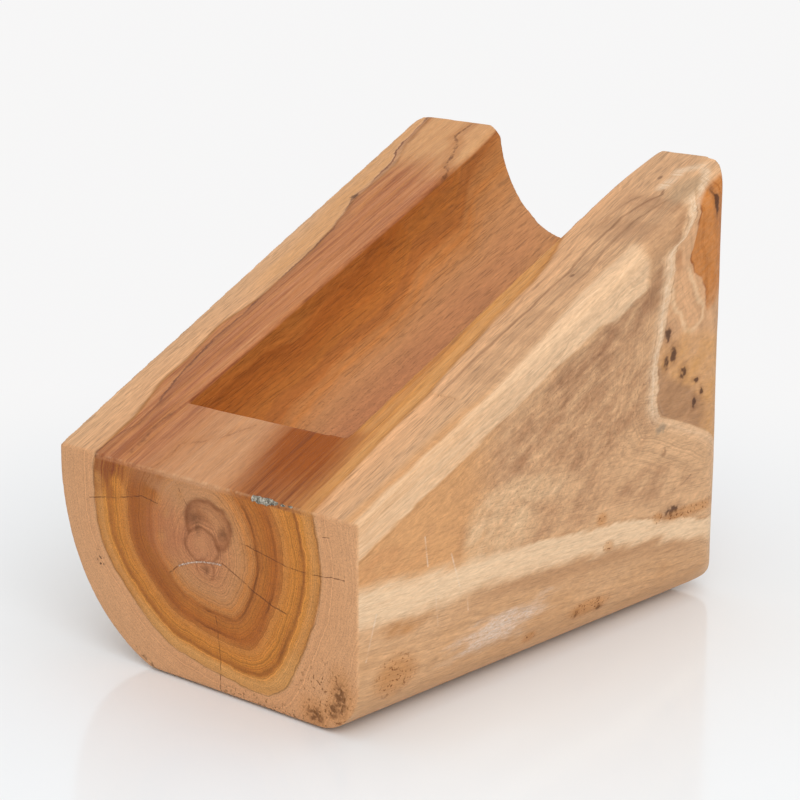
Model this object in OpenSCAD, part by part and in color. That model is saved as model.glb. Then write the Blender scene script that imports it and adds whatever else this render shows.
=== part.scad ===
// Sloping table cradle hewn from a single log.
// A half-round channel is cut into the sawn top, two natural voids are filled, and felt discs carry the wood.

/* [Log] */
// Overall width, at the widest part of the back
log_w = 219; // [190:1:260]
// Overall depth, from the sawn front to the sawn back
log_d = 289; // [240:1:340]
// Height of the sawn front
front_h = 100; // [85:1:130]
// Rise of the sawn top towards the back, in degrees
top_slope = 24; // [16:0.5:30]
// Height at which the round left flank stands upright
flank_h = 91; // [70:1:115]
// Distance across the log in which the left flank rounds under
flank_reach = 82; // [60:1:100]
// Depth of round wood planed away to make the flat underside
base_cut = 3; // [0.5:0.5:6]
// Angle at which the left flank spreads towards the back, in degrees
flank_spread = 4.4; // [1:0.1:7]
// Angle at which the sawn back runs out of square, in degrees
back_skew = 1.7; // [0:0.1:4]

/* [Edges] */
// Radius under the right side
foot_r = 26; // [8:1:36]
// Radius under the back
heel_r = 30; // [8:1:40]
// Radius of the upright edge at the back right
back_right_r = 22; // [10:1:36]
// Radius of the upright edge at the back left
back_left_r = 8; // [4:1:24]
// Radius of the worn right-hand edge of the top, where it is largest at the back
worn_r = 16; // [6:1:24]
// Length of that wear, which fades out towards the front
worn_l = 230; // [120:1:240]
// Radius of the worn inner corners of the two cheeks, at the back
cheek_r = 12; // [3:0.5:16]
// Length of the wear on the cheeks
cheek_l = 60; // [30:1:120]

/* [Channel] */
// Width of the half-round channel
channel_w = 103; // [85:1:116]
// Wood left in front of the channel, along the slope
sill_l = 50; // [30:1:80]
// Place of the channel's front end, to the right of the middle
channel_x = 7.5; // [0:0.5:16]
// Angle by which the channel veers to the left, in degrees
channel_yaw = 1; // [0:0.1:2]

/* [Fillers] */
// Length of the filled bark void along the front edge of the top
edge_void_l = 27; // [12:1:40]
// Depth of that void
edge_void_r = 3; // [2:0.5:7]
// Place of its left end, to the right of the middle
edge_void_x = 44; // [20:1:56]
// Length of the filled check below the heart of the log
check_l = 30; // [12:1:40]
// Thickness of that check
check_t = 1; // [0.8:0.1:2.5]
// Depth of the filling in the check
check_depth = 8; // [4:1:15]
// Height of the check above the underside
check_h = 61; // [40:1:75]
// Place of the check, to the right of the middle
check_x = 9; // [0:0.5:25]
// Radius of the bow in the check
check_bow_r = 68; // [40:1:120]
// Tilt of the check, in degrees
check_tilt = 13; // [0:1:25]

/* [Felt pads] */
// Diameter of each felt disc
pad_d = 20; // [12:1:28]
// Thickness of each felt disc
pad_t = 1; // [0.8:0.1:3]
// Wood left in front of the front discs
pad_inset = 14; // [6:1:30]

/* [Hidden] */

// One overrun serves every cut
overrun = 1;
// Steps along a rounded edge
arc_steps = 16;
flank_steps = 24;
void_sides = 8;
$fn = 96;

// Sizes of the sawn top
top_l = log_d / cos(top_slope);
back_h = front_h + log_d * tan(top_slope);
// Length that passes any part of the log
span = log_w + log_d + back_h;

// The left flank's line at the front, and where the flat underside starts from that line
flank_drop = flank_h + base_cut;
flank_end = asin(flank_h / flank_drop);
flat_start = flank_reach * (1 - cos(flank_end));
flank_front_x = back_left_r - log_w / 2 - back_left_r / cos(flank_spread)
                + (log_d - back_left_r) * tan(flank_spread);

// Centres of the two upright back edges, whose common tangent is the sawn back
back_left = [back_left_r - log_w / 2, log_d / 2 - back_left_r];
back_right_x = log_w / 2 - back_right_r;
back_right = [back_right_x, back_left[1] + (back_left_r - back_right_r) / cos(back_skew)
                            - (back_right_x - back_left[0]) * tan(back_skew)];

// A worn edge moves out by this share of its radius as it fades
fade_share = 1 - sqrt(1 / 2);
// Sag of the channel's wall behind a worn inner corner
cheek_sag = channel_w / 2 - sqrt(pow(channel_w / 2, 2) - pow(cheek_r, 2));

// Lengths and radii of the lobes of the bark void, as shares of its length and depth
lobe_shares = [[0.46, 1], [0.32, 0.6], [0.22, 0.5]];

// Places of the felt discs
pad_front_y = pad_inset + pad_d / 2 - log_d / 2;
pad_rear_y = log_d / 2 - heel_r - pad_d / 2;
pad_right_x = log_w / 2 - foot_r - pad_d / 2;
function pad_left_x(y) = flank_front_x + (flat_start + pad_d / 2) / cos(flank_spread)
                         - (y + log_d / 2) * tan(flank_spread);

// Points of a round edge about a centre
function arc(centre, r, from, to) = [for (i = [0 : arc_steps])
    let (a = from + (to - from) * i / arc_steps)
    centre + r * [cos(a), sin(a)]];

// Sum of the shares of the lobes before lobe i
function lobe_start_share(i) = i == 0 ? 0 : lobe_start_share(i - 1) + lobe_shares[i - 1][0];

// Carries a shape on to the sawn top, with Y up the slope and Z out of the wood
module on_slope() {
    translate([0, -log_d / 2, front_h]) rotate([top_slope, 0, 0]) children();
}

// Front-view outline drawn through the whole log
module front_prism(points) {
    rotate([90, 0, 0]) linear_extrude(height = 2 * span, center = true) polygon(points);
}

// Wood to the right of the round flank, whose upright line stands at zero
module flank() {
    round_under = [for (i = [0 : flank_steps])
        let (a = flank_end * i / flank_steps)
        [flank_reach * (1 - cos(a)), flank_h - flank_drop * sin(a)]];
    front_prism(concat(round_under, [[span, 0], [span, span], [0, span]]));
}

// Log before the channel: the outlines of flank, front, plan and side, cut through each other
module sawn_log() {
    intersection() {
        translate(back_left) rotate([0, 0, flank_spread]) translate([-back_left_r, 0, 0]) flank();
        front_prism(concat([[-span, 0]],
            arc([log_w / 2 - foot_r, foot_r], foot_r, -90, 0),
            [[log_w / 2, span], [-span, span]]));
        linear_extrude(height = span) polygon(concat(
            [[-log_w / 2, -log_d / 2], [log_w / 2, -log_d / 2]],
            arc(back_right, back_right_r, 0, 90 - back_skew),
            arc(back_left, back_left_r, 90 - back_skew, 180)));
        rotate([90, 0, 90]) linear_extrude(height = 2 * span, center = true) polygon(concat(
            [[-log_d / 2, 0]],
            arc([log_d / 2 - heel_r, heel_r], heel_r, -90, 0),
            [[log_d / 2, back_h], [-log_d / 2, front_h]]));
    }
}

// Corner outside a worn edge: full at the far end, faded out at the near end
module worn_corner(r, l) {
    turn = atan(fade_share * r / l);
    translate([fade_share * r, -l, fade_share * r]) rotate([-turn, 0, turn])
        difference() {
            translate([0, -l, 0]) cube([3 * r, 3 * l, 3 * r]);
            rotate([-90, 0, 0]) translate([0, 0, -2 * l]) cylinder(r = r, h = 5 * l);
        }
}

// Half-round channel, open at the back, with its worn back corners
module channel() {
    on_slope() translate([channel_x, sill_l, 0]) rotate([0, 0, channel_yaw]) {
        rotate([-90, 0, 0]) cylinder(d = channel_w, h = top_l);
        for (side = [0, 1]) mirror([side, 0, 0])
            translate([cheek_sag - channel_w / 2 - cheek_r, top_l - sill_l, -cheek_r])
                worn_corner(cheek_r, cheek_l);
    }
}

// Bark void on the front edge of the top, in three lobes
module edge_void() {
    for (i = [0 : len(lobe_shares) - 1])
        translate([edge_void_x + edge_void_l * lobe_start_share(i), -log_d / 2, front_h])
            rotate([0, 90, 0])
            cylinder(r = edge_void_r * lobe_shares[i][1], h = edge_void_l * lobe_shares[i][0], $fn = void_sides);
}

// Bowed check in the sawn front
module heart_check() {
    half_turn = check_l / check_bow_r * 90 / PI;
    bow = [0, -check_bow_r];
    translate([check_x, check_depth - log_d / 2, check_h]) rotate([90, 0, 0])
        linear_extrude(height = check_depth + overrun) rotate(check_tilt) polygon(concat(
            arc(bow, check_bow_r + check_t / 2, 90 - half_turn, 90 + half_turn),
            arc(bow, check_bow_r - check_t / 2, 90 + half_turn, 90 - half_turn)));
}

module carved_block() {
    color("peru") translate([0, 0, pad_t]) difference() {
        sawn_log();
        channel();
        on_slope() translate([log_w / 2 - worn_r, top_l, -worn_r]) worn_corner(worn_r, worn_l);
        edge_void();
        heart_check();
    }
}

module edge_filler() {
    color("silver") translate([0, 0, pad_t]) intersection() {
        sawn_log();
        edge_void();
    }
}

module heart_check_filler() {
    color("wheat") translate([0, 0, pad_t]) intersection() {
        sawn_log();
        heart_check();
    }
}

module felt_pad(x, y) {
    color("saddlebrown") translate([x, y, 0]) cylinder(d = pad_d, h = pad_t);
}

carved_block();
edge_filler();
heart_check_filler();
felt_pad(pad_left_x(pad_front_y), pad_front_y);  // felt_pad_front_left
felt_pad(pad_right_x, pad_front_y);  // felt_pad_front_right
felt_pad(pad_left_x(pad_rear_y), pad_rear_y);  // felt_pad_rear_left
felt_pad(pad_right_x, pad_rear_y);  // felt_pad_rear_right
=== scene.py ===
from math import cos, radians, sin, tan, tau

import bmesh
import bpy
import numpy as np
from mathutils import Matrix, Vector, noise


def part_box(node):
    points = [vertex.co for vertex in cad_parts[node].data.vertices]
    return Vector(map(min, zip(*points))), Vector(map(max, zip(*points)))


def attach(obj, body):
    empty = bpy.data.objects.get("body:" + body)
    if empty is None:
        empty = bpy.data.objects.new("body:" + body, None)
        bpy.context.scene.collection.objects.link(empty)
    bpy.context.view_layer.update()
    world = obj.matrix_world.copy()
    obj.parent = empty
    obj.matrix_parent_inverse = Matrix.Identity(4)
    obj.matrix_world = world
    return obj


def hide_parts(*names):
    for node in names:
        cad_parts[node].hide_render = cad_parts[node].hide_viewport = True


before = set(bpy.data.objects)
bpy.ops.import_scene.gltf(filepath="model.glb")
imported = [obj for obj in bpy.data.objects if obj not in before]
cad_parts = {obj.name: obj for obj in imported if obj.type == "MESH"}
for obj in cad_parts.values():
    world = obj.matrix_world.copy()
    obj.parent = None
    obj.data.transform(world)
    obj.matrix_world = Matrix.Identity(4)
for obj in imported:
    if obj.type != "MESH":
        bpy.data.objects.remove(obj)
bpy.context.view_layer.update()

# Carved block: one length of teak log, sawn flat on five sides and left round on the sixth,
# with a half-round channel cut down its sloping top. It is sanded by hand, so its arrises
# are eased unevenly and its faces swell a little, and it is lightly oiled.
MM = 0.001
block_low, block_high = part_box("carved_block")
FRONT_Y = block_low[1]
RIGHT_X = block_high[0]
BASE_Z = block_low[2]
FRONT_H = 0.101
TOP_SLOPE = radians(24)
CHANNEL_R = 51.5 * MM
CHANNEL_X = 7.5 * MM
CHANNEL_YAW = radians(1)
SILL_L = 50 * MM
VOXEL = 0.9 * MM
MOST_FACES = 170000


def copy_of(name, *nodes):
    """A free copy of the meshes of CAD nodes, to be reworked as one piece."""
    form = bmesh.new()
    for node in nodes:
        form.from_mesh(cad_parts[node].data)
    bmesh.ops.remove_doubles(form, verts=form.verts, dist=1e-6)
    piece = bpy.data.objects.new(name, bpy.data.meshes.new(name))
    form.to_mesh(piece.data)
    form.free()
    bpy.context.scene.collection.objects.link(piece)
    return piece


def shaped(piece, kind, **settings):
    """Works one modifier into a piece's mesh for good."""
    modifier = piece.modifiers.new(kind.lower(), kind)
    for name, value in settings.items():
        setattr(modifier, name, value)
    drawn = piece.evaluated_get(bpy.context.evaluated_depsgraph_get())
    mesh = bpy.data.meshes.new_from_object(drawn)
    piece.modifiers.clear()
    piece.data = mesh
    return mesh


def points_of(mesh):
    """Vertex places of a mesh, as rows."""
    rows = np.empty(3 * len(mesh.vertices), np.float32)
    mesh.vertices.foreach_get("co", rows)
    return rows.reshape(-1, 3).astype(float)


def normals_of(mesh):
    """Vertex normals of a mesh, as rows."""
    rows = np.empty(3 * len(mesh.vertices), np.float32)
    mesh.vertex_normals.foreach_get("vector", rows)
    return rows.reshape(-1, 3).astype(float)


def move_to(mesh, points):
    """Sets the vertex places of a mesh."""
    mesh.vertices.foreach_set("co", points.astype(np.float32).ravel())
    mesh.update()


def swell(points, size):
    """Smooth noise from -1 to 1 at each point, for lumps of that size along each axis."""
    return np.array([noise.noise(Vector(p)) for p in points / np.array(size)])


def fade(value, start, end):
    """0 before start and 1 after end, eased."""
    share = np.clip((value - start) / (end - start), 0, 1)
    return share * share * (3 - 2 * share)


# The wood is shaped as a whole log, and the two voids are cut when their fillers are made
block = copy_of("carved_block_wood", "carved_block", "edge_filler", "heart_check_filler")
shaped(block, "REMESH", mode="VOXEL", voxel_size=VOXEL)
crisp = points_of(shaped(block, "SMOOTH", factor=0.5, iterations=8))
soft = points_of(shaped(block, "SMOOTH", factor=0.5, iterations=40))

# Hand wear: the arrises are soft at the back, under the foot and where hands reach, and crisp at the front
x, y, z = crisp.T
back_share = fade(y, FRONT_Y, -FRONT_Y)
foot_share = 1 - fade(z, BASE_Z + 8 * MM, BASE_Z + 24 * MM)
worn = np.clip(0.05 + 0.55 * back_share + 0.35 * foot_share, 0, 1)
worn = np.clip(worn + 0.30 * swell(crisp, [0.03, 0.03, 0.03]), 0, 1)[:, None]
points = crisp + (soft - crisp) * worn
move_to(block.data, points)
normals = normals_of(block.data)

# Faces swell and sink a little, always into the wood, and the sawn base stays flat on its discs
x, y, z = points.T
on_base = fade(-normals[:, 2], 0.6, 0.95)
sunk = (0.30 * MM) * (1 + swell(points, [0.05, 0.12, 0.05]))
sunk += (0.10 * MM) * (1 + swell(points, [0.014, 0.05, 0.014]))

# The gouge leaves shallow scallops across the channel
axis_at = np.array([CHANNEL_X, FRONT_Y + SILL_L * cos(TOP_SLOPE), FRONT_H + SILL_L * sin(TOP_SLOPE)])
axis_to = np.array([-sin(CHANNEL_YAW), cos(CHANNEL_YAW) * cos(TOP_SLOPE), cos(CHANNEL_YAW) * sin(TOP_SLOPE)])
along = (points - axis_at) @ axis_to
off_axis = points - axis_at - along[:, None] * axis_to
in_channel = (np.abs(np.linalg.norm(off_axis, axis=1) - CHANNEL_R) < 1.2 * MM) & (along > 0)
SCALLOP_L, SCALLOP_D = 17 * MM, 0.25 * MM
scallops = np.abs(np.sin(np.pi * (along / SCALLOP_L + 0.25 * swell(points, [0.02, 0.03, 0.02]))))
sunk += np.where(in_channel, SCALLOP_D * scallops, 0)

# A saw that was set down twice left a shallow ledge on the right cheek
on_top = fade(normals[:, 2], 0.8, 0.9)
LEDGE_X, LEDGE_END, LEDGE_D = (77 * MM, 90 * MM), -59.4 * MM, 0.8 * MM
ledge_x = x + 0.06 * (y - LEDGE_END)
ledge = fade(ledge_x, LEDGE_X[0], LEDGE_X[0] + MM) * (1 - fade(ledge_x, LEDGE_X[1], LEDGE_X[1] + 6 * MM))
sunk += LEDGE_D * on_top * ledge * (1 - fade(y, LEDGE_END - MM, LEDGE_END))

points = points - normals * (sunk * (1 - on_base))[:, None]
move_to(block.data, points)
shaped(block, "DECIMATE", ratio=MOST_FACES / (2 * len(block.data.polygons)))

block.data.shade_smooth()
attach(block, "root")
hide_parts("carved_block")


class Signal:
    """A node's output. Arithmetic on it adds Math nodes, and node() adds a node of any other kind."""

    def __init__(self, socket):
        self.socket = socket

    def node(self, kind, settings, sockets, out=0):
        """Adds a node: its settings first, then the values or links of its sockets."""
        tree = self.socket.id_data
        made = tree.nodes.new("ShaderNode" + kind)
        for name, value in settings.items():
            if name == "stops":
                ramp = made.color_ramp
                for spot, colour in value[1:-1]:
                    ramp.elements.new(spot)
                for element, (spot, colour) in zip(ramp.elements, value):
                    element.position, element.color = spot, colour
            elif name == "between":
                made.color_ramp.interpolation = value
            else:
                setattr(made, name, value)
        for key, value in sockets.items():
            if isinstance(value, Signal):
                tree.links.new(value.socket, made.inputs[key])
            else:
                made.inputs[key].default_value = value
        return Signal(made.outputs[out])

    def math(self, operation, *others):
        return self.node("Math", {"operation": operation}, dict(enumerate((self, *others))))

    def __add__(self, other):
        return self.math("ADD", other)

    def __sub__(self, other):
        return self.math("SUBTRACT", other)

    def __rsub__(self, other):
        return self.node("Math", {"operation": "SUBTRACT"}, {0: other, 1: self})

    def __mul__(self, other):
        return self.math("MULTIPLY", other)

    def __truediv__(self, other):
        return self.math("DIVIDE", other)

    def __rtruediv__(self, other):
        return self.node("Math", {"operation": "DIVIDE"}, {0: other, 1: self})

    __radd__ = __add__
    __rmul__ = __mul__


def least(a, b):
    return a.math("MINIMUM", b)


def most(a, b):
    return a.math("MAXIMUM", b)


def ease(value, start, end):
    """0 at start and 1 at end, eased; start may be the larger."""
    return value.node("MapRange", {"interpolation_type": "SMOOTHSTEP"},
                      {"Value": value, "From Min": start, "From Max": end})


def close_to(value, at, reach):
    """1 where value is at, falling to 0 that far away."""
    return ease((value - at).math("ABSOLUTE"), reach, 0)


def vector(a, b, c):
    return a.node("CombineXYZ", {}, {0: a, 1: b, 2: c})


def move(at, operation, other):
    """Vector Math on two vectors."""
    return at.node("VectorMath", {"operation": operation}, {0: at, 1: other})


def length(at):
    return at.node("VectorMath", {"operation": "LENGTH"}, {0: at}, "Value")


def lines(value, size, detail=3.0, rough=0.6):
    """Noise about nought along one number, with bands of that size."""
    return value.node("TexNoise", {"noise_dimensions": "1D"},
                      {"W": value, "Scale": 1 / size, "Detail": detail, "Roughness": rough}) - 0.5


def mottle(at, size, detail=2.0, rough=0.5):
    """Noise about nought, with lumps of that size."""
    return at.node("TexNoise", {},
                   {"Vector": at, "Scale": 1 / size, "Detail": detail, "Roughness": rough}) - 0.5


def stray(at, size, amount):
    """A vector that wanders by about that amount."""
    colours = at.node("TexNoise", {}, {"Vector": at, "Scale": 1 / size, "Detail": 1.0}, "Color")
    return move(move(colours, "SUBTRACT", (0.5, 0.5, 0.5)), "MULTIPLY", (2 * amount,) * 3)


def tone(code):
    """Linear colour of a six-digit screen colour."""
    screen = [int(code[i:i + 2], 16) / 255 for i in (0, 2, 4)]
    return (*(c / 12.92 if c <= 0.04045 else ((c + 0.055) / 1.055) ** 2.4 for c in screen), 1)


def toned_by(value, places):
    """Colour that goes from tone to tone along a number."""
    return value.node("ValToRGB", {"stops": [(place, tone(code)) for place, code in places]}, {0: value})


def paint(base, colour, share):
    """Colour laid over base by share."""
    return share.node("Mix", {"data_type": "RGBA"}, {0: share, 6: base, 7: colour}, 2)


def shade(base, factor):
    """Base made darker or lighter by a factor."""
    even = factor.node("CombineColor", {}, {0: factor, 1: factor, 2: factor})
    return base.node("Mix", {"data_type": "RGBA", "blend_type": "MULTIPLY"}, {0: 1.0, 6: base, 7: even}, 2)


def grey(value):
    """A number from 0 to 1 as a colour, for a ramp."""
    return (value, value, value, 1)


def new_finish(name):
    """A material, its shader node and its object coordinates in millimetres."""
    finish = bpy.data.materials.new(name)
    finish.use_nodes = True
    tree = finish.node_tree
    place = Signal(tree.nodes.new("ShaderNodeTexCoord").outputs["Object"])
    return finish, tree.nodes["Principled BSDF"], move(place, "MULTIPLY", (1000, 1000, 1000))


def parts_of(at):
    """The three numbers of a vector."""
    outputs = at.node("SeparateXYZ", {}, {0: at}).socket.node.outputs
    return [Signal(outputs[i]) for i in range(3)]


def oval(at, centre, reach):
    """Distance from a centre on a face, as a share of the reach."""
    return length(move(move(at, "SUBTRACT", (*centre, 0)), "DIVIDE", (*reach, 1)))


def nearest_oval(at, ovals):
    """Distance from the nearest of some ovals on a face, as a share of its reach."""
    nearest = None
    for centre, reach in ovals:
        gap = oval(at, centre, reach)
        nearest = gap if nearest is None else least(nearest, gap)
    return nearest


def spot(at, *ovals):
    """1 inside ovals on a face, falling to 0 at their edges."""
    return ease(nearest_oval(at, ovals), 1, 0.35)


def slanted(at, centre, angle):
    """Face coordinates turned about a centre, so that an oval lies along a slant."""
    return at.node("VectorRotate", {"rotation_type": "Z_AXIS"},
                   {"Vector": at, "Center": (*centre, 0), "Angle": -radians(angle)})


def off_line(at, points):
    """Distance from a bent line on a face."""
    nearest = None
    for (a, b), (c, d) in zip(points, points[1:]):
        run = (c - a, d - b, 0)
        square = run[0] ** 2 + run[1] ** 2
        from_start = move(at, "SUBTRACT", (a, b, 0))
        share = from_start.node("VectorMath", {"operation": "DOT_PRODUCT"},
                                {0: from_start, 1: run}, "Value") / square
        share = share.node("Clamp", {}, {0: share})
        along = share.node("VectorMath", {"operation": "SCALE"}, {0: run, "Scale": share})
        gap = length(move(from_start, "SUBTRACT", along))
        nearest = gap if nearest is None else least(nearest, gap)
    return nearest


def dye(finish_skin, **colours):
    """Links what varies over a surface to its shader."""
    for name, value in colours.items():
        target = finish_skin.inputs[name.replace("_", " ")]
        finish_skin.id_data.links.new(value.socket, target)


wood, wood_skin, at = new_finish("oiled_teak")
x, y, z = parts_of(at)
nought = x * 0

# The grain follows the base at the bottom of the log and the sawn top at its top, and fans out between
FAN_LEAN = 0.07
TOP_H = FRONT_H / MM
depth = y - FRONT_Y / MM
top = depth * tan(TOP_SLOPE) + TOP_H
lean = z + depth * FAN_LEAN
level = z / (1 + z * (1 / TOP_H - 1 / top))
front_at = vector(x, z, nought)
side_at = vector(y, z, nought)
top_at = vector(x, y, nought)
on_front = ease(depth, 2.4, 1.0)
on_right = ease(x, 97, 105) * ease(depth, 0.4, 2.0)
on_sawn_top = ease(top - z, 3.2, 1.8)
facing = Signal(wood.node_tree.nodes.new("ShaderNodeNewGeometry").outputs["Normal"])
facing_x, facing_y = parts_of(facing)[:2]
on_back = ease(facing_y, 0.86, 0.96) * ease(depth, 262, 276)
on_flank = ease(facing_x, -0.2, -0.55) * ease(x, 0, -15)


def along_ramp(value, start, end, scale, places):
    """A number that follows a bent line: pairs of a value and the number there, up to the scale."""
    stops = [((v - start) / (end - start), grey(n / scale)) for v, n in places]
    return value.node("ValToRGB", {"stops": stops}, {0: (value - start) / (end - start)}) * scale


# The heart lies right of the middle and drifts left towards the back; its outline is measured by angle
HEART_X, HEART_Z = 11.5, 67
LOG_D = 289
DRIFT = [(0, 0), (46, 3), (85, 5), (134, 12), (170, 14), (195, 19), (209, 24), (244, 26), (258, 34),
         (LOG_D, 39)]
drift = along_ramp(depth, 0, LOG_D, 50, DRIFT)
drift = drift + 8 * ease(x, -20, -50) * ease(depth, 25, 60) * ease(depth, 130, 95)
wander = ease(depth, 0, 60) * 0.6 + 0.15
warp = move(stray(vector(x, level, depth * 0.4), 26, 5), "MULTIPLY", vector(wander, wander, nought))
small_warp = move(stray(vector(x, level, depth * 0.5), 6, 0.7), "MULTIPLY", (1, 1, 0))
ring_at = move(move(vector(x - HEART_X + drift, level - HEART_Z, nought), "ADD", warp), "ADD", small_warp)
ring_x, ring_z = parts_of(ring_at)[:2]
turn = ring_z.math("ARCTAN2", ring_x) / tau + 0.5
HEART_OUTLINE = [(-180, 73), (-158, 63.8), (-139, 57.9), (-116, 55.5), (-92, 55), (-71, 61.2), (-58, 70.2),
                 (-46, 74.4), (-25, 72.3), (2, 76), (24, 78), (60, 84), (120, 86), (156, 81), (180, 73)]
outline = turn.node("ValToRGB", {"stops": [((a + 180) / 360, grey(r / 100)) for a, r in HEART_OUTLINE],
                                 "between": "CARDINAL"}, {0: turn})
streak = mottle(vector(x, level, depth * 0.03), 5.0, 4.0, 0.65)
heart = length(ring_at) / (outline * 100) + streak * on_sawn_top * 0.06

# Fibres, pores, growth rings and cloudy patches run through all of the wood
LOW_GRAIN, HIGH_GRAIN = 66, 90
high = ease(level, LOW_GRAIN, HIGH_GRAIN)
low_at = vector(x, lean, depth * 0.05)
high_at = vector(x, z - depth * 0.4, depth * 0.05)


def grain(size, detail, rough):
    """Noise drawn out along the fibres, which lie level low in the log and along the sawn top above."""
    low_part = mottle(low_at, size, detail, rough)
    return low_part + (mottle(high_at, size, detail, rough) - low_part) * high


fibre = grain(1.5, 3.0, 0.65)
pores = ease(grain(0.62, 0.0, 0.5), 0.07, 0.22)
vein = mottle(vector(x, level, depth * 0.03 + 90), 2.6, 4.0, 0.7)
cloud = mottle(vector(x, level, depth * 0.3), 22, 3.0)
rings = lines(heart + cloud * 0.09, 0.030, 4.0, 0.62)
lamellae = lines(heart + cloud * 0.09, 0.011, 2.0, 0.6)

# Heartwood: a pinkish core, red-brown rings and a golden band next to the sapwood
HEART_TONES = [(0.0, "B87A53"), (0.16, "B97D53"), (0.32, "BB8354"), (0.42, "BD7B41"), (0.48, "AC672E"),
               (0.53, "B16B2C"), (0.60, "A86024"), (0.64, "A55E26"), (0.70, "C27E3C"), (0.77, "C47D34"),
               (0.82, "C07A31"), (0.86, "A7642A"), (0.89, "C68238"), (0.94, "C98B4C"), (0.985, "BC7E40"),
               (1.0, "A66A34")]
heartwood = toned_by(heart + rings * 0.10, HEART_TONES)

# Dark rings come and go round the heart and along the log; the core's own ring fades out at the upper left
RING_LINES = [(0.475, 0.020, 0.75), (0.63, 0.019, 0.65), (0.85, 0.015, 0.5)]
RING_DARK = tone("6E3A14")
right_part = ease(ring_x + 25, 0, 30)
for number, (ring, reach, strength) in enumerate(RING_LINES):
    comes = mottle(vector(ring_x, ring_z, depth * 0.5 + 40 * number), 26, 2.0)
    shown = ease(comes, -0.16, 0.12) * strength * (0.35 + 0.65 * right_part)
    heartwood = paint(heartwood, RING_DARK, close_to(heart, ring, reach) * shown)
heartwood = paint(heartwood, tone("8C4A1C"), ease(rings, 0.10, 0.22) * ease(heart, 0.45, 0.65) * 0.4)
heartwood = paint(heartwood, tone("D09A5C"), ease(heart, 0.86, 0.92) * ease(ring_z, -28, -46) * 0.6)

# Sapwood: pale straw, pinker next to the heart
SAP_TONES = [(0.0, "D6A275"), (0.25, "D4A57A"), (1.0, "D4A87E")]
sapwood = toned_by(heart - 1.0, SAP_TONES)
timber = paint(heartwood, sapwood, ease(heart, 0.985, 1.015))
rim_share = (0.22 + 0.5 * ease(level, 78, 94) * ease(ring_x, 20, -30)) * (1 - 0.7 * on_sawn_top)
rim = close_to(heart, 0.992, 0.020) * ease(cloud, -0.2, 0.05)
timber = paint(timber, tone("5E3A20"), rim * rim_share)
ring_share = (1 - on_right) * (0.35 + 0.45 * ease(heart, 0.45, 0.75) * ease(heart, 1.03, 0.98))
timber = shade(timber, 1 + rings * ring_share + fibre * 0.44 + streak * 0.42 + cloud * 0.24)
# The whole front face is also made a little lighter here: painted light on that face.
timber = shade(timber, 1 + on_front * 0.05 - pores * 0.17 + lamellae * most(on_front, on_back) * 0.8
               + vein * on_sawn_top * 0.4)

# Front: the core is open towards the top edge, with darker rings to its left and in the upper left corner
wavy_front = move(front_at, "ADD", stray(front_at, 14, 1.6))
timber = paint(timber, tone("C98B5C"), on_front * ease(heart, 0.99, 1.03) * 0.42)
OPEN_CORE, RED_CORE, DARK_CORNER = ((-6, 104), (42, 28)), ((-14, 72), (26, 24)), ((-57, 102), (30, 26))
open_core = on_front * ease(oval(wavy_front, *OPEN_CORE), 1.0, 0.4)
timber = paint(timber, tone("BF8A60"), open_core * (0.7 + rings))
timber = paint(timber, tone("AE6644"), on_front * ease(oval(wavy_front, *RED_CORE), 1.0, 0.2) * 0.5)
dark_left = on_front * ease(ring_x, -6, -28) * close_to(heart, 0.57, 0.17)
timber = paint(timber, tone("8E4E20"), dark_left * (0.45 + rings * 2))
corner = on_front * spot(wavy_front, DARK_CORNER) * ease(heart, 1.0, 0.97)
timber = paint(timber, tone("884520"), corner * (0.75 + rings * 2))

# Front: two small knots grown together above the pith
UPPER_KNOT, LOWER_KNOT, PITH = ((15.5, 81), (15.0, 11.5)), ((11, 70.5), (11.0, 8.0)), ((13.2, 59.5), (6.5, 5))
upper = oval(wavy_front, *UPPER_KNOT)
lower = oval(wavy_front, *LOWER_KNOT)
pith = oval(wavy_front, *PITH)
whorl = upper.node("Math", {"operation": "SMOOTH_MIN"}, {0: upper, 1: least(lower, pith + 0.15), 2: 0.15})
timber = shade(timber, 1 + lines(whorl, 0.2) * on_front * ease(whorl, 2.8, 0.9) * 0.55)
fleck = 0.35 + 0.65 * ease(mottle(front_at, 9, 2.0), -0.16, 0.1)
upper_share = on_front * ease(lower, 0.85, 1.1)
timber = paint(timber, tone("9A5C36"), ease(upper, 0.35, 1.0) * ease(upper, 1.12, 1.0) * upper_share * 0.55)
timber = paint(timber, tone("75401F"), close_to(upper, 1.0, 0.20) * upper_share * fleck * 0.6)
timber = paint(timber, tone("C4895C"), on_front * ease(lower, 0.9, 0.2) * 0.6)
timber = paint(timber, tone("75401F"), close_to(lower, 1.0, 0.18) * on_front * fleck * 0.55)
timber = paint(timber, tone("8A4E2A"), close_to(pith, 1.0, 0.25) * on_front * fleck * 0.5)
ragged_front = move(front_at, "ADD", stray(front_at, 4.0, 1.5))
KNOT_EYES = [((6.5, 83), (8, 5)), ((9, 78.5), (3.2, 4)), ((25, 78.5), (5, 4.2)), ((13.2, 59.5), (3.4, 2.6))]
eyes = nearest_oval(ragged_front, KNOT_EYES)
timber = paint(timber, tone("603418"), ease(eyes, 1.15, 0.1) * on_front * 0.6)

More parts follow.
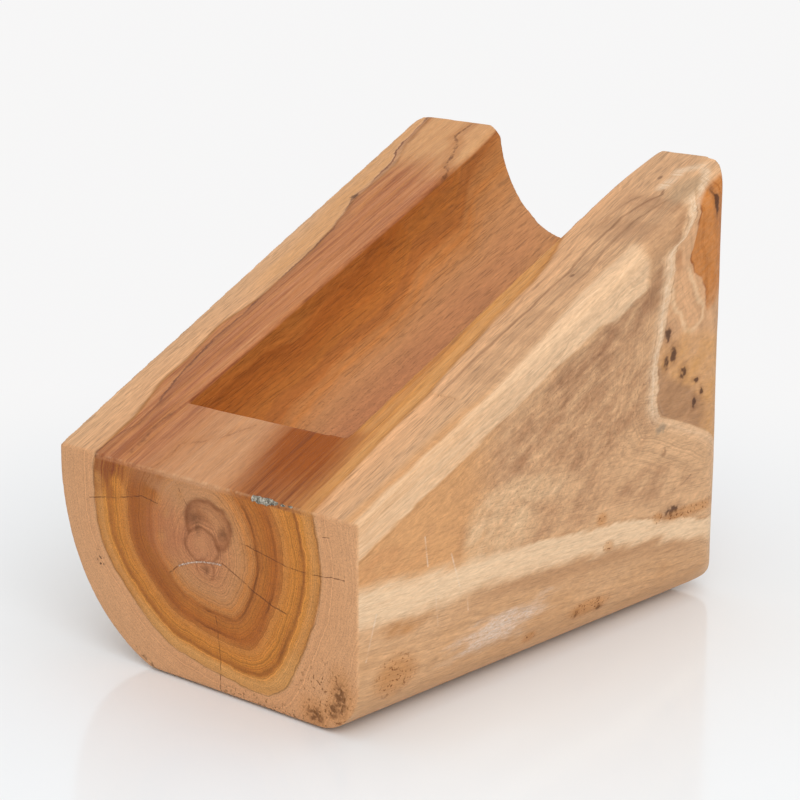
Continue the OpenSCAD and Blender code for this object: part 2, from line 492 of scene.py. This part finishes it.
# Top: the heartwood is browner on the left cheek and plain pink on the sill
heart_top = on_sawn_top * ease(heart, 0.995, 0.97)
brown_left = heart_top * ease(x, -10, -34)
timber = paint(timber, tone("BA794E"), brown_left * (0.8 + streak * 1.4))
timber = paint(timber, tone("8A4A2A"), brown_left * ease(vein, -0.02, 0.16) * 0.7)
timber = paint(timber, tone("CE9060"), brown_left * ease(vein, -0.03, -0.16) * 0.6)
sill = on_sawn_top * ease(y, -88, -98) * ease(x + cloud * 20, -46, -6) * ease(x, 44, 16)
timber = paint(timber, tone("C8936A"), sill * (0.75 + streak))
by_channel = on_sawn_top * ease(x, 52, 60) * ease(heart, 1.03, 0.95)
timber = paint(timber, tone("D69C5E"), by_channel * ease(y, 110, -30) * (0.5 + streak * 2))
timber = paint(timber, tone("A8642E"), by_channel * ease(vein, 0.0, 0.2) * 0.5)

# Sill: an orange-brown flame, darkened by oil, runs from the channel to the front edge; its deep orange towards
# the front edge is partly painted dark reflection of the bottle that lies in the channel
flame_x = x + (y + 99) * 0.3 + cloud * 16
flame_and_reflection = ease(flame_x, 6, 40) * ease(flame_x, 76, 50) * on_sawn_top * ease(y, -88, -96)
timber = paint(timber, tone("9A5C34"), flame_and_reflection * (0.75 + streak * 2))
timber = paint(timber, tone("964A00"), least(flame_and_reflection * ease(y, -156, -110) * (1.2 + streak * 2.4), 1.0))
timber = paint(timber, tone("6E3000"), flame_and_reflection * ease(vein + streak, -0.06, 0.22) * ease(x, 20, 44) * 0.7)

# Left cheek: a thin dark line wanders through the brown wood and past a small knot; the back is golden
smudge_at = move(top_at, "ADD", stray(vector(x, y * 0.5, nought), 5, 1.5))
smudge_at = move(smudge_at, "ADD", stray(top_at, 1.6, 0.7))
smudge_x, smudge_y = parts_of(smudge_at)[:2]
DARK_LINE = [(-144, 62), (-128, 61), (-120, 57), (-104, 60), (-82, 67), (-62, 70), (-45, 71), (-25, 72),
             (-2, 74), (18, 75), (38, 78), (51, 82), (62, 87), (70, 89), (76, 87), (88, 90), (100, 91),
             (109, 97), (128, 101), (145, 103)]
to_line = smudge_x + along_ramp(smudge_y, -145, 145, 120, DARK_LINE)
behind_line = on_sawn_top * ease(to_line, -0.5, -2) * ease(to_line, -24, -8) * ease(y, -30, 10)
timber = paint(timber, tone("D0985F"), behind_line * (0.55 + streak * 2))
golden = on_sawn_top * ease(x + cloud * 20, -36, -46) * ease(y + cloud * 40, 78, 112) * ease(to_line, 0, 6)
timber = paint(timber, tone("D39F6C"), golden * (0.8 + streak))
comes = ease(mottle(vector(x, y * 0.3, nought), 9, 2.0), -0.22, 0.1)
timber = paint(timber, tone("54301F"), close_to(to_line, 0, 1.1) * on_sawn_top * comes * 0.85)
timber = paint(timber, tone("8C5436"), ease(to_line, 7, 0) * ease(to_line, -1, 0) * on_sawn_top * 0.4)
LEFT_KNOT = ((-89, 66), (3.4, 4.0))
timber = paint(timber, tone("4E2D1B"), spot(smudge_at, LEFT_KNOT) * on_sawn_top * 0.8)
TOP_LINES = [([(-43, -137), (-44, -128), (-47, -118), (-45, -104)], 1.6, 0.5),
             ([(-23, -143), (-20, -135), (-22, -125), (-13, -121), (-5, -117), (6, -104)], 1.1, 0.3),
             ([(-48, 91), (-49, 98), (-55, 102), (-58, 111), (-64, 122), (-71, 128), (-69, 143)], 1.4, 0.75),
             ([(-45, 92), (-46, 113), (-51, 137)], 1.0, 0.5)]
broken = ease(mottle(top_at, 4, 3.0, 0.65), -0.14, 0.12)
for points_along, half, strength in TOP_LINES:
    gap = off_line(smudge_at, points_along)
    timber = paint(timber, tone("A86630"), ease(gap, half * 5, half) * on_sawn_top * strength * 0.5)
    timber = paint(timber, tone("5F3417"), ease(gap, half, half * 0.2) * on_sawn_top * broken * strength)

# Right face and right cheek, unrolled over their arris: the grain turns down along a pale ridge near the back
over = z - top + RIGHT_X / MM - x
curl = mottle(vector(y * 0.6, over, nought), 20, 4.0, 0.55)
sway = mottle(vector(y * 0.45, over + z, nought), 15, 5.0, 0.6)
on_cheek = ease(x, 62, 78)
RIDGE = [(-140, 131), (-111, 99), (-95, 79), (-84, 73), (-67, 74), (-49, 76), (-41, 80), (-23, 84), (-13, 85),
         (-10, 96), (-4, 103), (2, 110)]
wavy_y, wavy_over = y - curl * 12, over + curl * 10
to_ridge = along_ramp(wavy_over, -140, 2, 150, RIDGE) - wavy_y
from_arris = over.math("ABSOLUTE") + 4
bend = to_ridge.node("Math", {"operation": "SMOOTH_MIN"},
                     {0: to_ridge.math("ABSOLUTE") + most(over, 0) * 4, 1: from_arris + curl * 14, 2: 24.0})
bend_lines = lines(bend + curl * 6, 4.5, 4.0, 0.68)
bend_share = on_cheek * ease(bend, 70, 8) * ease(y, -150, -20) * ease(z + ease(y, 20, 60) * 28, 95, 112)

# Between them it goes from warm at the front through a brown cloud to pale and greyish at the back
timber = paint(timber, tone("D2A67C"), on_right * 0.55)
warm = on_right * ease(y + curl * 40, -40, -76) * ease(lean, 64, 70)
timber = paint(timber, tone("D19862"), warm * 0.8)
RED_SPOT = ((-126, 79), (36, 10))
timber = paint(timber, tone("B5774A"), spot(side_at, RED_SPOT) * on_right * (0.15 + curl * 1.5))
CLOUD_AT, CLOUD_REACH = (2, 108), (96, 46)
slope_at = slanted(side_at, CLOUD_AT, 28)
grains = mottle(move(slope_at, "MULTIPLY", (0.5, 1, 1)), 2.2, 5.0, 0.78)
blotch = mottle(move(slope_at, "MULTIPLY", (0.4, 1, 1)), 10, 4.0, 0.65)
brown = ease(oval(slanted(side_at, CLOUD_AT, 22), CLOUD_AT, CLOUD_REACH) + curl * 1.3, 1.2, 0.4) * on_right
timber = paint(timber, tone("A87A56"), brown * (0.5 + blotch * 3.0))
PALE_LOOP = [(-66, 62), (-65, 82), (-57, 91), (-35, 92), (22, 85)]
PALE_SPOT, BROWN_TAIL = ((-42, 76), (30, 17)), ((72, 72), (50, 15))
loop_gap = off_line(move(side_at, "ADD", vector(curl * 9, sway * 12, nought)), PALE_LOOP)
loop = most(ease(loop_gap, 11, 2), spot(side_at, PALE_SPOT)) * on_right * ease(y + curl * 30, 30, -25)
timber = paint(timber, tone("E4BD92"), loop * (0.55 + blotch * 2.4))
brown_tail = spot(slanted(side_at, BROWN_TAIL[0], -6), BROWN_TAIL) * on_right
timber = paint(timber, tone("A87A56"), brown_tail * (0.4 + blotch * 3))
under_arris = ease(over + sway * 8, -17, -23) * ease(over, -46, -26) * on_right
under_arris = under_arris * ease(y, -14, 24) * ease(to_ridge, 2, 16)
timber = paint(timber, tone("9C6F4E"), under_arris * (0.6 + blotch * 2.4))
timber = shade(timber, 1 + grains * on_right * (0.6 + brown * 0.7))
timber = paint(timber, tone("EAD3BA"), ease(grains, 0.15, 0.26) * brown * 0.45)
timber = paint(timber, tone("855C3E"), ease(mottle(at, 1.3, 2.0), 0.12, 0.2) * brown * 0.5)

# A pale band lies along the arris, and the cheek beside it is browner, with three dark lines
edge = over + sway * 7
on_side = on_cheek * ease(depth, 0.4, 2.0)
pale_top = edge - ease(y, -40, 40) * 7
arris = ease(edge + ease(y, 22, 40) * 5, -17.5, -15) * ease(pale_top, 5, 1) * on_side
arris = arris * ease(y + curl * 12, 67, 60)
timber = paint(timber, tone("E8C39C"), arris * (0.68 + streak * 0.8 + fibre * 0.9))
patchy = ease(blotch, -0.16, 0.16)
arris_line = close_to(edge, -17.5, 1.4) * ease(y, 60, -10)
timber = paint(timber, tone("94673F"), arris_line * on_right * patchy * 0.4)
cheek_band = ease(pale_top, 2, 9) * ease(edge, 32, 22) * ease(y, -80, -20) * ease(to_ridge, 10, 30) * on_side
cheek_band = most(cheek_band, ease(y, 60, 67) * ease(to_ridge, 5, 12) * ease(over, -44, -24) * on_side)
band_share = 0.34 + 0.24 * ease(y, 60, 67)
timber = paint(timber, tone("A87C58"), cheek_band * (band_share + streak * 1.4 + blotch * 2))
cheek_end = on_side * ease(y, 78, 100) * ease(over, 20, 28)
timber = paint(timber, tone("AC7E5A"), cheek_end * (0.36 + streak * 1.6))
CHEEK_LINE = [(-60, 27), (-5, 28), (20, 28), (38, 27), (57, 31), (81, 31), (97, 26), (103, 22), (109, 27)]
gap = over - along_ramp(wavy_y, -60, 109, 40, CHEEK_LINE) + curl * 5
# Three dark lines side by side: how far each strays and lies off, its half width, its two ends and its strength
CHEEK_LINES = [(0, 0, 1.6, (-70, -40), (110, 106), 0.6), (8, 8, 1.3, (-60, 30), (104, 96), 0.45),
               (-12, -9, 1.3, (-40, 40), (120, 100), 0.45)]
for strays, off, half, near_end, far_end, strength in CHEEK_LINES:
    line = close_to(gap + curl * strays, off, half) * ease(y, *near_end) * ease(y, *far_end)
    timber = paint(timber, tone("7E5436"), line * on_cheek * strength)

# A pale stripe runs the whole length of the right face, with darker wood between it and the foot
over_top = lean - (71.5 - 10 * ease(y, 40, 130)) + sway * 9
over_foot = lean - (58 - 8 * ease(y, 60, 130) - 5 * ease(y, -40, -110)) + sway * 12
stripe = ease(over_top * (0.3 + 0.7 * ease(y, -70, 10)), 1.2, -1.2) * ease(over_foot, -4, 4) * on_right
timber = paint(timber, tone("E8C6A0"), stripe * (0.9 + streak * 0.8 + fibre * 0.9))
stripe_lines = lines(over_top + sway * 4, 4.5, 3.0, 0.65)
timber = paint(timber, tone("B8895E"), stripe * ease(stripe_lines, 0.05, 0.2) * 0.3)
stripe_edge = close_to(over_top, 0.8, 1.2) * ease(y, -50, 10)
timber = paint(timber, tone("94673F"), stripe_edge * on_right * patchy * 0.4)
under = ease(over_foot, 2, -3) * ease(over_foot, -14, -5) * on_right * ease(y, -110, -30) * ease(y, 130, 90)
timber = paint(timber, tone("B0825A"), under * (0.6 + streak))
low = ease(over_foot, -5, -14) * on_right
timber = paint(timber, tone("C5966A"), low * (0.65 + cloud * 1.5 + blotch * 1.5))
timber = shade(timber, 1 + lines(lean + sway * 10, 5, 4.0, 0.65) * low * 0.55)
RUST_SPOT = ((-113, 47), (28, 6))
timber = paint(timber, tone("B5793F"), spot(side_at, RUST_SPOT) * on_right * (0.4 + blotch * 2))
by_arm = ease(y, 46, 72) * ease(z, 112, 98) * ease(to_ridge, 0, 4)
timber = shade(timber, 1 + bend_lines * bend_share * (0.5 + 0.4 * ease(z, 95, 112) + 0.9 * by_arm))

# Behind the ridge the wood swirls, tan and orange, with a brown patch and a row of dark knots
behind = ease(to_ridge, 0.8, -0.8) * on_right * ease(over, 6, 0)
timber = paint(timber, tone("CE9C72"), behind * (0.7 + grains))
timber = shade(timber, 1 + lines(wavy_y + wavy_over * 0.3, 7, 4.0, 0.65) * behind * 0.45)
SWIRL = [(87, -18), (90, -36), (102, -58)]
swirl = off_line(vector(wavy_y, wavy_over, nought), SWIRL)
timber = shade(timber, 1 + lines(swirl, 5, 3.0) * behind * ease(swirl, 22, 6) * 0.8)
swirl_edge = close_to(swirl + blotch * 8, 7, 2.4) * ease(over, -26, -34)
timber = paint(timber, tone("E6C39A"), swirl_edge * behind * (0.5 + grains))
timber = paint(timber, tone("A9744A"), ease(swirl, 3.6, 1.2) * behind * ease(over, -34, -22) * 0.6)
STRIP = [(-70, 116), (-57, 111), (-50, 112), (-42, 108), (-35, 101), (-27, 99), (-18, 102), (-9, 104),
         (0, 109), (5, 119)]
strip_edge = wavy_y - along_ramp(wavy_over, -70, 5, 150, STRIP)
orange = behind * ease(strip_edge, -0.8, 0.8) * ease(wavy_over + blotch * 16, -66, -52)
rust = lines(wavy_y + over * 0.12, 5, 4.0, 0.65)
timber = paint(timber, tone("C07632"), orange * (0.85 + grains))
timber = paint(timber, tone("A25E24"), orange * ease(rust, 0.0, 0.2) * 0.6)
strip_line = close_to(strip_edge, 0, 1.3) * ease(wavy_over, -62, -54)
timber = paint(timber, tone("8A4A1C"), strip_line * behind * patchy * 0.8)
timber = paint(timber, tone("CF985C"), behind * ease(z + curl * 30, 150, 134) * (0.55 + grains + blotch * 2))
patch = ease(z + (y - 80) * 0.57 + curl * 16, 131, 124) * ease(y + curl * 20, 126, 104)
timber = paint(timber, tone("8E6850"), behind * patch * (0.55 + blotch))
ridge_line = close_to(to_ridge + blotch * 6, 4.0, 7.5) * on_right
ridge_line = ridge_line * ease(over, 12, 5) * (0.35 + 0.65 * ease(over, -98, -82))
END_LOOP = [(109, 26), (116, 25), (123, 26), (127, 23), (129, 16), (125, 10), (110, 2), (103, -3)]
LOOP_FILL = ((110, 12), (17, 12))
loop_gap = off_line(vector(wavy_y, over, nought), END_LOOP)
ridge_line = most(ridge_line, ease(loop_gap + blotch * 4, 5.0, 0.6) * on_cheek)
unrolled = vector(y, over, nought)
loop_share = 0.75 + lines(loop_gap, 3) * 1.5
timber = paint(timber, tone("B0906E"), spot(unrolled, LOOP_FILL) * on_cheek * loop_share)
ridge_lines = lines(to_ridge + curl * 6, 2.4)
timber = paint(timber, tone("E8CCAC"), ridge_line * (0.5 + grains * 1.6 + ridge_lines * 1.8))
CHEEK_KNOTS = [((116, 33), (2.4, 1.7)), ((34, 24), (2.0, 1.5))]
timber = paint(timber, tone("5A3622"), spot(unrolled, *CHEEK_KNOTS) * on_cheek * 0.6)
thin_line = most(close_to(to_ridge, 7, 1.2), close_to(to_ridge, -0.8, 1.0)) * on_right
thin_line = thin_line * ease(over, 4, -2) * ease(over, -104, -86)
timber = paint(timber, tone("8A6446"), thin_line * patchy * 0.5)

# Knots of the right face: a bent row behind the ridge, a large one by the stripe, and small ones at the foot
KNOTS = [((81, 146), (3.2, 4.6)), ((86, 136), (3.8, 5.2)), ((80, 132), (2.6, 4.2)), ((95, 125), (3.4, 4.2)),
         ((106, 119), (3.0, 1.6)), ((111, 112), (1.8, 3.0)), ((105, 107), (2.4, 3.4)), ((88, 54), (8, 3.6)),
         ((13, 19), (2.4, 2.2)), ((31, 17), (2.8, 2.0)), ((120, 207), (2.4, 9))]
ragged = move(side_at, "ADD", stray(side_at, 4.5, 1.6))
knot = nearest_oval(ragged, KNOTS)
timber = paint(timber, tone("8A5A38"), ease(knot, 1.9, 0.8) * on_right * 0.35)
timber = paint(timber, tone("4A2A1A"), ease(knot + grains, 1.0, 0.5) * on_right * 0.85)
GREY_KNOT, SMALL_KNOT = ((77, 99), (7, 3.6)), ((80, 86), (2.6, 3.6))
timber = paint(timber, tone("7F7767"), spot(ragged, GREY_KNOT) * on_right * 0.5)
timber = paint(timber, tone("8A5E3E"), spot(ragged, SMALL_KNOT) * on_right * 0.5)

# A chalky scuff low on the right face
SCUFF = ((-47, 28), (48, 10))
scuff_at = slanted(side_at, SCUFF[0], 6)
smear = mottle(move(scuff_at, "MULTIPLY", (0.25, 1, 1)), 5, 2.0)
chalk = mottle(move(scuff_at, "MULTIPLY", (0.35, 1, 1)), 0.9, 3.0, 0.8)
scuff = ease(oval(scuff_at, *SCUFF) - smear * 1.6, 1.0, 0.1) * on_right
timber = paint(timber, tone("E2D2C4"), scuff * (0.5 + chalk * 2.0))

# Pin knots cluster low at the front and trail from the dark knot at the back
pins = ease(mottle(at, 1.7, 2.0), 0.07, 0.17)
TRAILS = [((-119, 25), (19, 14)), ((104, 51), (34, 4.5)), ((30, 63), (6, 5)), ((22, 20), (22, 6)),
          ((36, 48), (6, 4)), ((76, 53), (6, 4)), ((-22, 16), (7, 4))]
trail = spot(side_at, *TRAILS)
timber = paint(timber, tone("B8752E"), trail * on_right * 0.45)
timber = paint(timber, tone("7A4416"), pins * trail * on_right * 0.9)

# Scratches: pale ones near the front, and a dark one at the back
SCRATCHES = [[(-93, 61), (-91, 41)], [(-71, 53), (-70, 43)], [(-100, 85), (-98, 71)], [(-132, 57), (-139, 37)],
             [(-82, 73), (-76, 56)]]
for scratch in SCRATCHES:
    scored = ease(off_line(side_at, scratch), 0.7, 0.2)
    timber = paint(timber, tone("EAD6C0"), scored * on_right * patchy * 0.45)
DARK_SCRATCH = [(88, 65), (97, 66.5), (104, 70)]
scored = ease(off_line(move(side_at, "ADD", stray(side_at, 6, 1.2)), DARK_SCRATCH), 0.8, 0.2)
timber = paint(timber, tone("5E4230"), scored * on_right * patchy * 0.6)

# Left flank: the log's own outside under its bark, with long streaks and a few knots
timber = paint(timber, tone("C39566"), on_flank * (0.4 + streak * 2.4))
timber = shade(timber, 1 + vein * on_flank * 0.8)
FLANK_KNOTS = [((52, 122), (6.5, 4)), ((-62, 62), (4, 2.6)), ((98, 58), (5, 3.2)), ((-8, 40), (3, 2))]
knot = nearest_oval(ragged, FLANK_KNOTS)
timber = shade(timber, 1 + lines(knot, 0.5) * ease(knot, 4, 1) * on_flank * 0.7)
timber = paint(timber, tone("8A5A36"), ease(knot, 1.7, 0.8) * on_flank * 0.5)
timber = paint(timber, tone("4E2E1C"), ease(knot + grains, 0.9, 0.4) * on_flank * 0.75)

# Drying cracks on the two sawn ends
CRACKS = [([(-66.6, 78.1), (-46.8, 81.8), (-28.8, 86.3), (-18.1, 84.6)], 0.42),
          ([(-11.3, 52.3), (-4.4, 58.1)], 0.5),
          ([(24.4, 64.8), (33.2, 61.4), (44.4, 56.1), (56.7, 52.1), (65.3, 50.4)], 0.5),
          ([(37.4, 77.2), (51, 75.1), (65.7, 72.5), (77.7, 72), (94.3, 73.5), (101.3, 73.8)], 0.42),
          ([(19.8, 38.1), (21.4, 27.1), (22.4, 15.9), (21.4, 1.2)], 0.42),
          ([(86.8, 90.6), (92.1, 91.8)], 0.36),
          ([(-5.7, 97.5), (1.8, 87.8)], 0.32)]
crack_at = move(front_at, "ADD", stray(front_at, 5, 0.7))
BACK_CRACKS = [([(-24, 118), (-16, 146), (-12, 171)], 0.6), ([(-36, 102), (-58, 86), (-86, 76)], 0.55),
               ([(-18, 96), (3, 72), (12, 44)], 0.6), ([(-29, 94), (-36, 60), (-34, 38)], 0.45),
               ([(-8, 112), (30, 121), (62, 124)], 0.45)]
opened = ease(mottle(front_at, 5, 2.0), -0.28, 0.05) * 0.8
for cracks, on_end in ((CRACKS, on_front), (BACK_CRACKS, on_back)):
    for points_along, half in cracks:
        split = ease(off_line(crack_at, points_along), half, half * 0.2)
        timber = paint(timber, tone("5A3018"), split * on_end * opened)

# Burl and bark low on the front
BURLS = [((83, 6.5), (6, 5)), ((98.5, 17.5), (5, 9)), ((94, 11.5), (4, 4))]
burl = nearest_oval(ragged_front, BURLS)
timber = paint(timber, tone("B8752E"), ease(burl, 2.4, 0.8) * on_front * 0.36)
crumbly = ease(mottle(front_at, 2.5, 2.0), -0.18, 0.04)
timber = paint(timber, tone("5E3414"), ease(burl, 1.15, 0.5) * on_front * crumbly * 0.75)
SPECK_SPOT = ((90, 16), (26, 24))
speck_band = ease(z, 9, 3) * ease(x, 10, 35)
specks = most(speck_band, spot(front_at, SPECK_SPOT)) * pins * on_front
timber = paint(timber, tone("74471F"), specks * 0.8)
SAP_SPECKS = [((-60, 48), (4, 8)), ((-52, 39), (3, 4))]
timber = paint(timber, tone("5A3A22"), spot(front_at, *SAP_SPECKS) * pins * on_front * 0.9)
BARK_LINE = [(-35, 9), (-28, 4), (-21, 0.5)]
bark = ease(off_line(ragged_front, BARK_LINE), 2.0, 0.3) * ease(mottle(front_at, 3, 2.0), -0.05, 0.1)
timber = paint(timber, tone("4A2E1C"), bark * on_front * 0.7)

# Fine flecks cover all of the wood, and a thin pale line along the front arrises, broken here and there, is
# part wear and part painted highlight
speckle = mottle(vector(x, level, depth * 0.15), 0.8, 2.0, 0.6)
timber = shade(timber, 1.02 + speckle * 0.55 - pores * 0.08)
front_arris = length(vector(depth, top - z, nought))
side_arris = length(vector(depth, x - RIGHT_X / MM, nought))
arris_wear_and_highlight = ease(least(front_arris, side_arris), 1.8, 0.7) * ease(streak, -0.12, 0.16) * 0.4
timber = paint(timber, tone("E2BA90"), arris_wear_and_highlight)

dye(wood_skin, Base_Color=timber, Roughness=0.54 + fibre * 0.3)
relief = fibre * 0.6 - pores * 0.3
dye(wood_skin, Normal=relief.node("Bump", {}, {"Strength": 0.4, "Distance": 0.0006, "Height": relief}))
wood_skin.inputs["Specular IOR Level"].default_value = 0.2
block.data.materials.clear()
block.data.materials.append(wood)

# Bark pocket filler: a stiff grey resin, loaded with pale and dark grains of stone, pressed into the void
# on the front edge of the top and sanded off level with the wood.
edge_filler = copy_of("edge_filler_stone", "edge_filler")
shaped(edge_filler, "REMESH", mode="VOXEL", voxel_size=0.25 * MM)
shaped(edge_filler, "SMOOTH", factor=0.5, iterations=6)
points = points_of(edge_filler.data)
edge_line = np.array([0, FRONT_Y, FRONT_H])
filling = 0.72 + 0.45 * swell(points, [4 * MM] * 3) + 0.2 * swell(points, [1.6 * MM] * 3)
filling = np.clip(filling, 0.3, 1)[:, None] * [0, 1, 1] + [1, 0, 0]
move_to(edge_filler.data, edge_line + (points - edge_line) * filling)


def let_in(filler):
    """Cuts a filler's void into the wood, and trims the filler off level with the wood."""
    void = bpy.data.objects.new("void", filler.data.copy())
    bpy.context.scene.collection.objects.link(void)
    shaped(filler, "BOOLEAN", operation="INTERSECT", object=block, solver="EXACT")
    shaped(block, "BOOLEAN", operation="DIFFERENCE", object=void, solver="EXACT")
    bpy.data.objects.remove(void)


let_in(edge_filler)
edge_filler.data.shade_smooth()
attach(edge_filler, "root")
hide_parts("edge_filler")


def flecked(name, base, pale, dark):
    """Filler with pale and dark grains in it."""
    finish, skin, at = new_finish(name)
    clumps = mottle(at, 2.2, 3.0)
    ground = toned_by(clumps + 0.5, [(0.3, dark), (0.55, base), (0.8, pale)])
    grains = mottle(at, 0.55, 1.0)
    ground = paint(ground, tone(pale), ease(grains, 0.08, 0.16))
    ground = paint(ground, tone(dark), ease(grains, -0.10, -0.17) * 0.9)
    dye(skin, Base_Color=ground, Roughness=0.7 + grains * 0.2)
    dye(skin, Normal=grains.node("Bump", {}, {"Strength": 0.4, "Distance": 0.0003, "Height": grains}))
    return finish


edge_filler.data.materials.clear()
edge_filler.data.materials.append(flecked("grey_stone_filler", "8C8474", "C9C3B4", "4A4236"))

# Heart check filler: the same kind of resin in a pale tint, run into a thin check below the pith
# and sanded off level with the sawn front.
check_filler = copy_of("heart_check_filler_pale", "heart_check_filler")
shaped(check_filler, "REMESH", mode="VOXEL", voxel_size=0.25 * MM)
points = points_of(check_filler.data)
thinner = 0.12 * MM * (1 + swell(points, [2.5 * MM] * 3) + swell(points, [1.2 * MM] * 3))
on_face = fade(points[:, 1], FRONT_Y + 0.2 * MM, FRONT_Y)
thinner = np.clip(thinner, 0, 0.3 * MM) * (1 - on_face)
move_to(check_filler.data, points - normals_of(check_filler.data) * thinner[:, None])
let_in(check_filler)
check_filler.data.shade_smooth()
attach(check_filler, "root")
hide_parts("heart_check_filler")
check_filler.data.materials.clear()
check_filler.data.materials.append(flecked("pale_filler", "C09A80", "E6D6C6", "8A5A42"))

# Felt discs: four stamped discs of pressed brown felt, glued under the wood near its corners,
# so that it stands steady and can't mark a table.
felt, felt_skin, at = new_finish("brown_felt")
hairs = mottle(at, 0.35, 4.0, 0.7)
nap = mottle(at, 4, 2.0)
felt_tone = toned_by(hairs + 0.5, [(0.25, "33261B"), (0.75, "6B5643")])
dye(felt_skin, Base_Color=shade(felt_tone, 1 + nap * 0.4))
dye(felt_skin, Normal=hairs.node("Bump", {}, {"Strength": 0.6, "Distance": 0.0003, "Height": hairs}))
felt_skin.inputs["Roughness"].default_value = 0.95
felt_skin.inputs["Sheen Weight"].default_value = 0.25
for corner in ("front_left", "front_right", "rear_left", "rear_right"):
    node = "felt_pad_" + corner
    disc = copy_of(node + "_felt", node)
    shaped(disc, "REMESH", mode="VOXEL", voxel_size=0.25 * MM)
    shaped(disc, "SMOOTH", factor=0.5, iterations=4)
    disc.data.shade_smooth()
    disc.data.materials.clear()
    disc.data.materials.append(felt)
    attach(disc, "root")
    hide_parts(node)

# Studio: a plain pale table top with a soft sheen, a white surround, and a wide soft lamp at the right.
# The camera stands in front and to the right, a little above the wood.
FLOOR = 6.0
floor_mesh = bpy.data.meshes.new("table_top")
floor_corners = [(-FLOOR, -FLOOR, 0), (FLOOR, -FLOOR, 0), (FLOOR, FLOOR, 0), (-FLOOR, FLOOR, 0)]
floor_mesh.from_pydata(floor_corners, [], [(0, 1, 2, 3)])
floor = bpy.data.objects.new("table_top", floor_mesh)
bpy.context.scene.collection.objects.link(floor)
pale, pale_skin, at = new_finish("pale_table")
pale_skin.inputs["Base Color"].default_value = (0.90, 0.93, 0.95, 1)
pale_skin.inputs["Roughness"].default_value = 0.12
pale_skin.inputs["Specular IOR Level"].default_value = 0.3
tree = pale.node_tree
seen = Signal(tree.nodes.new("ShaderNodeLightPath").outputs["Is Camera Ray"])
WHITE_FROM, WHITE_AT = 170, 520
far = ease(length(at), WHITE_FROM, WHITE_AT) * seen
glow = far.node("Emission", {}, {"Color": (0.93, 0.925, 0.925, 1), "Strength": 1.0})
blend = far.node("MixShader", {}, {0: far, 1: Signal(pale_skin.outputs[0]), 2: glow})
tree.links.new(blend.socket, tree.nodes["Material Output"].inputs["Surface"])
floor_mesh.materials.append(pale)

world = bpy.data.worlds.new("white_surround")
world.use_nodes = True
tree = world.node_tree
path = tree.nodes.new("ShaderNodeLightPath").outputs
seen, mirrored, through = [Signal(path[f"Is {kind} Ray"]) for kind in ("Camera", "Glossy", "Transmission")]
shown = most(most(seen, mirrored), through)
SURROUND, SURROUND_SHOWN = 0.66, 0.93
strength = SURROUND + shown * (SURROUND_SHOWN - SURROUND)
tree.links.new(strength.socket, tree.nodes["Background"].inputs["Strength"])
tree.nodes["Background"].inputs["Color"].default_value = (1, 1, 1, 1)
bpy.context.scene.world = world


def soft_lamp(name, place, size, power):
    """A square lamp that faces the wood."""
    lamp = bpy.data.lights.new(name, "AREA")
    lamp.shape, lamp.size, lamp.energy = "SQUARE", size, power
    stand = bpy.data.objects.new(name, lamp)
    stand.location = place
    stand.rotation_euler = Vector(place).to_track_quat("Z", "Y").to_euler()
    bpy.context.scene.collection.objects.link(stand)


soft_lamp("right_lamp", (1.5, -1.1, 1.3), 1.6, 20)
soft_lamp("top_lamp", (0.1, 0.2, 2.2), 2.0, 8)

camera_data = bpy.data.cameras.new("camera")
camera_data.lens = 108
camera = bpy.data.objects.new("camera", camera_data)
camera.location = (0.7819, -0.8642, 0.4130)
camera.rotation_euler = (radians(90 - 14.58), 0, radians(41.99))
bpy.context.scene.collection.objects.link(camera)
bpy.context.scene.camera = camera
bpy.context.scene.view_settings.view_transform = "Standard"
